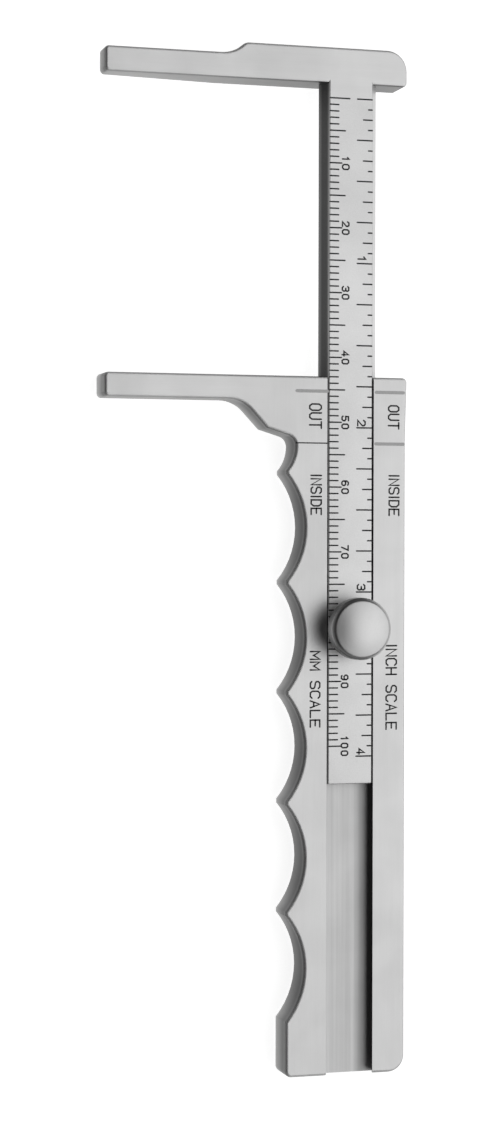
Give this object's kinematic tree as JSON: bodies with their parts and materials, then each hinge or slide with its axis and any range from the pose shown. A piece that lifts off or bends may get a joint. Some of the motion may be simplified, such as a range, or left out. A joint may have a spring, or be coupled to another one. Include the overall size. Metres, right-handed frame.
{
  "type": "femur caliper",
  "caption": "Steel sliding caliper with two long jaws: a dovetail bar with a scale and a thumb knob slides in a scalloped finger-grip handle.",
  "frame": {"origin": "on the flat back face, on the bar's centre line, behind the handle's outside index line", "axes": "+Y along the bar towards the moving jaw, +Z out of the engraved front, the jaws reach towards -X"},
  "size_m": [0.0482, 0.1587, 0.0128],
  "materials": {
    "handle_steel": "satin, brushed along the handle",
    "slide_steel": "satin, matt over the scale",
    "knob_steel": "fine satin on a turned dome",
    "hardware_steel": "plain hardened steel",
    "engraving_fill": "dull dark fill in the engraved lines and numbers"
  },
  "bodies": {
    "handle": {"handle_frame": "handle_steel", "stop_pin": "hardware_steel", "drag_ball": "hardware_steel", "drag_spring": "hardware_steel"},
    "slide": {"slide_bar": "slide_steel", "thumb_knob": "knob_steel", "knob_screw": "hardware_steel"}
  },
  "joints": [
    {"name": "slide_travel", "type": "slide", "parent": "handle", "child": "slide", "axis": [0, 1, 0], "range_m": [-0.04515, 0.05635]}
  ]
}
